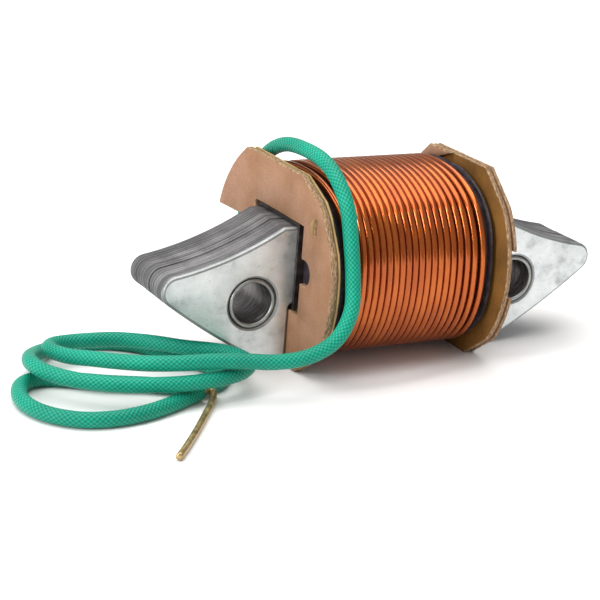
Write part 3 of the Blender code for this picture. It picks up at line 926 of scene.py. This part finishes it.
def straight_cut(outline, cut, kept_side):
    """The part of an outline on one side of a straight cut: -1 keeps the centre's side, 1 the far side."""
    towards = math.radians(cut[0])
    past = [
        kept_side * (cut[1] - y * math.cos(towards) - (z - FLANGE_CENTRE[1]) * math.sin(towards))
        for y, z in outline
    ]
    kept = []
    for index, point in enumerate(outline):
        if past[index - 1] * past[index] < 0:
            share = past[index - 1] / (past[index - 1] - past[index])
            kept.append(tuple(Vector(outline[index - 1]).lerp(Vector(point), share)))
        if past[index] <= 0:
            kept.append(point)
    return kept


def trimmed(outline, cuts):
    """The outline with everything past its straight cuts taken off."""
    for cut in cuts:
        outline = straight_cut(outline, cut, -1)
    return outline


def wire_notch():
    centre = (WIRE_WINDOW_FRONT - NOTCH_DEPTH + NOTCH_RADIUS, NOTCH_Z)
    bite = arc(centre, NOTCH_RADIUS, -math.pi / 2, -1.5 * math.pi, 16)
    return [(WIRE_WINDOW_FRONT, bite[0][1])] + bite + [(WIRE_WINDOW_FRONT, bite[-1][1])]


def slit_loop():
    corners = ((-1, -1), (1, -1), (1, 1), (-1, 1))
    return [(SLIT[0] + a * SLIT_SIZE[0] / 2, SLIT[1] + b * SLIT_SIZE[1] / 2) for a, b in corners]


def ragged(outline, draw, amount):
    """The outline with a point every step, those near the rim moved inwards a little as torn card is."""
    loop = evenly(outline, TORN_STEP)
    offsets = [draw.uniform(0.0, amount) for point in loop]
    moved = []
    for index, here in enumerate(loop):
        towards = Vector(FLANGE_CENTRE) - here
        near_rim = towards.length > TORN_FROM
        moved.append(here + towards.normalized() * offsets[index] if near_rim else here)
    return moved


def straight(y, z):
    return 0.0


def leaning_back(y, z):
    """The left flange's back lobe is bent outwards."""
    return -0.85 * max(0.0, (y - 1.0) / 14.0) ** 1.6


def splayed_foot(y, z):
    """The right flange's outer ply stands off a little at its front and foot."""
    return 0.35 * max(0.0, (8.0 - z) / 8.0) + 0.15 * max(0.0, (-y - 5.0) / 10.0)


def add_lip(mesh, face):
    """The card pushed up along the back side of the slit: a low ridge, highest in its middle, in the lighter
    straw card as a painted highlight.
    """
    sides = 10
    shape = bmesh.new()
    shape.from_mesh(mesh)
    rows = []
    for step in range(13):
        share = (step - 6) / 6.2
        reach = math.sqrt(1 - share ** 2)
        z = SLIT[1] + share * SLIT_SIZE[1] * 0.52
        row = []
        for side in range(sides):
            angle = TAU * side / sides
            x = face + 0.42 * reach * math.cos(angle)
            y = SLIT[0] + 0.55 - 0.12 * share ** 2 + 0.24 * reach * math.sin(angle)
            row.append(shape.verts.new(Vector((x, y, z)) * MM))
        rows.append(row)
    lip = [shape.faces.new(rows[0][::-1]), shape.faces.new(rows[-1])]
    for near, far in zip(rows, rows[1:]):
        for side in range(sides):
            after = (side + 1) % sides
            lip.append(shape.faces.new((near[side], near[after], far[after], far[side])))
    # The ridge takes the straw card, lighter than the board, as a painted highlight.
    for part in lip:
        part.material_index = 2
    shape.to_mesh(mesh)
    shape.free()


def make_flanges(board, dark_board, liner, edge):
    draw = random.Random(11)
    wire_side = trimmed(side_slotted(1, -WIRE_WINDOW_FRONT, wire_notch()), LEFT_CUTS)
    liner_card = trimmed(side_slotted(1, -LINER_WINDOW_FRONT), LEFT_CUTS)
    back_slotted = trimmed(side_slotted(1, WINDOW_HALF_WIDTH), RIGHT_CUTS)
    front_slotted = trimmed(side_slotted(-1, WINDOW_HALF_WIDTH), RIGHT_CUTS)
    disc = rim_arc() + [(-y, z) for y, z in reversed(rim_arc())]
    flap = straight_cut(straight_cut(disc, CORNER_CUT, -1), PACKING_CUT, 1)
    plies = [
        ("left_board", "outer_ply", wire_side, board, "fibre_board", leaning_back),
        ("left_liner_card", "liner", liner_card, liner, "fibre_liner", straight),
        ("right_board", "inner_ply", back_slotted, dark_board, "fibre_board", straight),
        ("right_outer_board", "outer_ply", front_slotted, board, "fibre_board", splayed_foot),
        ("right_flap", "packing", flap, board, "fibre_liner", straight),
    ]
    for name, ply, outline, face, slot, lean in plies:
        node = f"{name.split('_')[0]}_flange_{ply}"
        holes = [slit_loop()] if name == "left_board" else []
        low, high = span(node, 0)
        chamfer = min(0.1, (high - low) / 4)
        profile = [
            (chamfer, low),
            (0.0, low + chamfer),
            (0.0, (low + high) / 2),
            (0.0, high - chamfer),
            (chamfer, high),
        ]
        torn = ragged(outline, draw, 0.05)
        mesh = slab(name, torn, holes, profile, lambda y, z, x: (x + lean(y, z), y, z), 1)
        if holes:
            add_lip(mesh, low + lean(*SLIT))
        # The third material, the straw card, colours the slit's lip lighter than its board as a painted
        # highlight.
        materials = [face, liner if ply == "liner" else edge, liner]
        add_piece(name, mesh, materials, [node], 50.0)


# ---------------------------------------------------------------- winding

def superellipse(angle, centre_z, half, squareness):
    across, up = math.cos(angle), math.sin(angle)
    scale = (abs(across) ** squareness + abs(up) ** squareness) ** (-1 / squareness)
    return Vector((half[0] * across * scale, centre_z + half[1] * up * scale))


def section_loop(x, depth, steps):
    """A closed loop of the winding's section at one place along the coil."""
    return [(x, *loop_point(TAU * step / steps, depth)) for step in range(steps)]


def loop_point(angle, depth):
    """A point of the winding's section at a depth from 0, on the core's sleeve, to 1, outside."""
    inner = superellipse(angle, CORE_CENTRE_Z, SLEEVE_HALF, CORE_SQUARENESS)
    outer = superellipse(angle, WINDING_CENTRE_Z, WINDING_HALF, WINDING_SQUARENESS)
    return inner.lerp(outer, depth)


def wound_line(left, right, turns, depth, steps, draw, loose, lead_in):
    """Centreline of one layer: a helix from left to right, a little uneven, its last turns more open.

    The lead-in is how far the wire slants away from the left flange before its first full turn.
    """
    wobble = [draw.uniform(-1.0, 1.0) for step in range(steps * turns // 6 + 2)]
    line = []
    for step in range(steps * turns + 1):
        turn = step / steps
        share = turn / turns
        slant = min(1.0, max(0.0, (turn - 0.2) / 0.3))
        x = left + lead_in * slant + (right - left - lead_in) * (share + loose * (share ** 10 - share))
        where = step / 6
        index = int(where)
        uneven = wobble[index] + (wobble[index + 1] - wobble[index]) * (where - index)
        y, z = loop_point(TAU * turn, depth)
        line.append(Vector((x + 0.02 * uneven, y, z)))
    return line


def make_winding(enamel, paper, dark_wrap):
    draw = random.Random(23)
    order = [
        ("winding_layer_1", WIRE_DIAMETER),
        ("winding_layer_2", WIRE_DIAMETER),
        ("layer_wrap_1", PAPER_THICKNESS),
        ("winding_layer_3", WIRE_DIAMETER),
        ("winding_layer_4", WIRE_DIAMETER),
        ("layer_wrap_2", PAPER_THICKNESS),
        ("winding_layer_5", WIRE_DIAMETER),
        ("cover_wrap", COVER_THICKNESS),
        ("winding_layer_6", WIRE_DIAMETER),
    ]
    build = sum(thickness + LAYER_GAP for node, thickness in order)
    depth = 0.0
    for node, thickness in order:
        inner, outer = (depth + LAYER_GAP) / build, (depth + LAYER_GAP + thickness) / build
        depth += thickness + LAYER_GAP
        left, right = span(node, 0)
        if node.startswith("winding"):
            outside = node == "winding_layer_6"
            lead_in, loose = (OUTER_LEAD_IN, OUTER_LOOSENESS) if outside else (0.0, 0.0)
            steps, sides = (72, 14) if outside else (36, 8)
            turns = int((right - left - lead_in) / TURN_PITCH) - 1
            ends = (left + TURN_RADIUS, right - TURN_RADIUS)
            line = wound_line(*ends, turns, (inner + outer) / 2, steps, draw, loose, lead_in)
            name = node.replace("winding", "wire")
            mesh = tube(name, line, TURN_RADIUS, sides, (0.1, 0.1))
            add_piece(name, mesh, [enamel], [node], 60.0)
        elif node == "cover_wrap":
            make_cover(node, inner, outer, draw, dark_wrap)
        else:
            make_wrap(node, inner, outer, left, right, paper)


def make_wrap(node, inner, outer, left, right, material):
    corners = ((outer, left), (outer, right), (inner, right), (inner, left))
    rings = [section_loop(x, depth, 96) for depth, x in corners]
    name = node.replace("wrap", "paper")
    add_piece(name, ringed(name, rings, True), [material], [node])


def make_cover(node, inner, outer, draw, material):
    """The dark wrap: flat under the outer layer, crumpled up at each flange, folded over the left end."""
    left = span("left_flange_liner", 0)[1] + 0.06
    right = span("right_flange_packing", 0)[0] - 0.06
    steps = 144
    crumple = [draw.uniform(0.0, 1.0) for corner in range(24)]
    last = span("winding_layer_6", 0)[1]

    def reach(step, share, bulge):
        where = step / steps * len(crumple)
        index = int(where)
        near, far = crumple[index % len(crumple)], crumple[(index + 1) % len(crumple)]
        creased = near + (far - near) * (where - index)
        towards_front = max(0.0, -math.cos(TAU * step / steps)) ** 0.7
        cuff = 0.92 + 0.07 * creased + bulge * towards_front
        return outer + (cuff - outer) * share

    stations = [
        (left, 1.0, 0.12),
        (left + 0.2, 1.0, 0.2),
        (left + 0.6, 1.0, 0.18),
        (left + 0.9, 1.0, 0.1),
        (left + 1.1, 0.0, 0.0),
        (last - 0.1, 0.0, 0.0),
        (last + 0.05, 0.8, 0.0),
        (last + 0.2, 1.0, 0.0),
        (right, 1.0, 0.0),
    ]
    rings = []
    for x, share, bulge in stations:
        depths = [reach(step, share, bulge) for step in range(steps)]
        rings.append([(x, *loop_point(TAU * step / steps, depth)) for step, depth in enumerate(depths)])
    for x, depth in ((right, inner), (left + 0.03, inner), (left + 0.03, 0.0), (left, 0.0)):
        rings.append(section_loop(x, depth, steps))
    add_piece("crumpled_wrap", ringed("crumpled_wrap", rings, True), [material], [node])


def make_bar_sleeve(material):
    left, right = span("core_sleeve", 0)
    low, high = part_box("core_sleeve")
    outer = (high.y / MM, (high.z - low.z) / 2 / MM)
    rings = []
    for thin, x in ((0.0, left), (0.0, right), (BAR_SLEEVE_WALL, right), (BAR_SLEEVE_WALL, left)):
        half = (outer[0] - thin, outer[1] - thin)
        loop = [superellipse(TAU * step / 96, CORE_CENTRE_Z, half, CORE_SQUARENESS) for step in range(96)]
        rings.append([(x, *point) for point in loop])
    add_piece("bar_sleeve", ringed("bar_sleeve", rings, True), [material], ["core_sleeve"])


# ---------------------------------------------------------------- wires and lead

def make_wires(enamel, paper, bare, solder):
    line = smooth_line(FINISH_WIRE_ROUTE, 0.4)
    mesh = tube("finish_end", line, WIRE_DIAMETER / 2, 14, (0.1, 0.1))
    add_piece("finish_end", mesh, [enamel], ["finish_wire"], 60.0)
    line = smooth_line(EARTH_SLEEVE_ROUTE, 0.4)
    mesh = tube("earth_end_sleeve", line, EARTH_SLEEVE_DIAMETER / 2, 16, (0.15, 0.15))
    add_piece("earth_end_sleeve", mesh, [paper], ["earth_wire_sleeve"], 60.0)
    line = smooth_line(EARTH_WIRE_ROUTE, 0.2)
    mesh = tube("earth_end", line, WIRE_DIAMETER / 2, 14, (0.1, 0.1))
    add_piece("earth_end", mesh, [bare], ["earth_wire"], 60.0)
    low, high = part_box("earth_solder")
    middle, half = (low + high) / 2 / MM, (high - low) / 2 / MM
    rings = []
    for step in range(1, 12):
        angle = math.pi * step / 12
        y = middle.y + half.y * math.cos(angle) - (0.3 if step > 6 else 0.0)
        spread = math.sin(angle) if step < 7 else 1.0 + 0.05 * (step - 6)
        ring = []
        for side in range(24):
            turn = TAU * side / 24
            lump = 1.0 + 0.07 * math.sin(3 * turn + 0.6)
            ring.append(
                (
                    middle.x + half.x * spread * lump * math.cos(turn),
                    max(y, SOLDER_FOOT_Y),
                    middle.z + half.z * spread * lump * math.sin(turn),
                )
            )
        rings.append(ring)
    mesh = ringed("solder_joint", rings, False)
    add_piece("solder_joint", mesh, [solder], ["earth_solder"], 80.0)


def make_lead(braid, bare):
    line = smooth_line(WIRE_END_ROUTE, 0.4)
    mesh = tube("bare_end", line, BARE_DIAMETER / 2, 16, (0.12, 0.12))
    bare_end = add_piece("bare_end", mesh, [bare], ["lead_wire_end"], 60.0)
    line = smooth_line(LEAD_ROUTE, 0.8)
    mesh = tube("braided_lead", line, LEAD_DIAMETER / 2, 24, (0.12, 0.12))
    lead = add_piece("braided_lead", mesh, [braid], ["lead_sleeve"], 60.0)


make_camera()
make_studio()
enamel = enamel_material()
paper = wrap_material("brown_paper", (0.045, 0.032, 0.028), (0.012, 0.008, 0.008))
bare = bare_wire_material()
make_lead(sleeve_material(), bare)
make_wires(enamel, paper, bare, solder_material())
plate, plate_edge = plate_material("stained_steel_plate", 1.0), plate_material("plate_edge", 0.45)
sheets = [lamination_material(number, tone) for number, tone in enumerate((0.26, 0.31, 0.36))]
make_core(plate, plate_edge, sheets)
rim = rivet_material("rivet_rim", (0.22, 0.22, 0.21), (0.36, 0.37, 0.36), (0.52, 0.53, 0.52))
# The bore's copy of the tube material is darker than the rim's, as painted shade inside the tube, and its
# lightest rings are painted highlights.
bore = rivet_material("rivet_bore_painted_shade", (0.08, 0.07, 0.07), (0.2, 0.19, 0.19), (0.62, 0.61, 0.6))
make_rivets(rim, bore)
tan = board_material("tan_board", (0.345, 0.187, 0.11), (0.275, 0.137, 0.07))
straw = board_material("straw_card", (0.46, 0.32, 0.14), (0.3, 0.19, 0.07))
brown = board_material("brown_board", (0.19, 0.083, 0.012), (0.105, 0.044, 0.006))
make_flanges(tan, brown, straw, board_edge_material())
make_winding(enamel, paper, wrap_material("purple_black_wrap", (0.05, 0.034, 0.044), (0.01, 0.008, 0.01)))
make_bar_sleeve(paper)
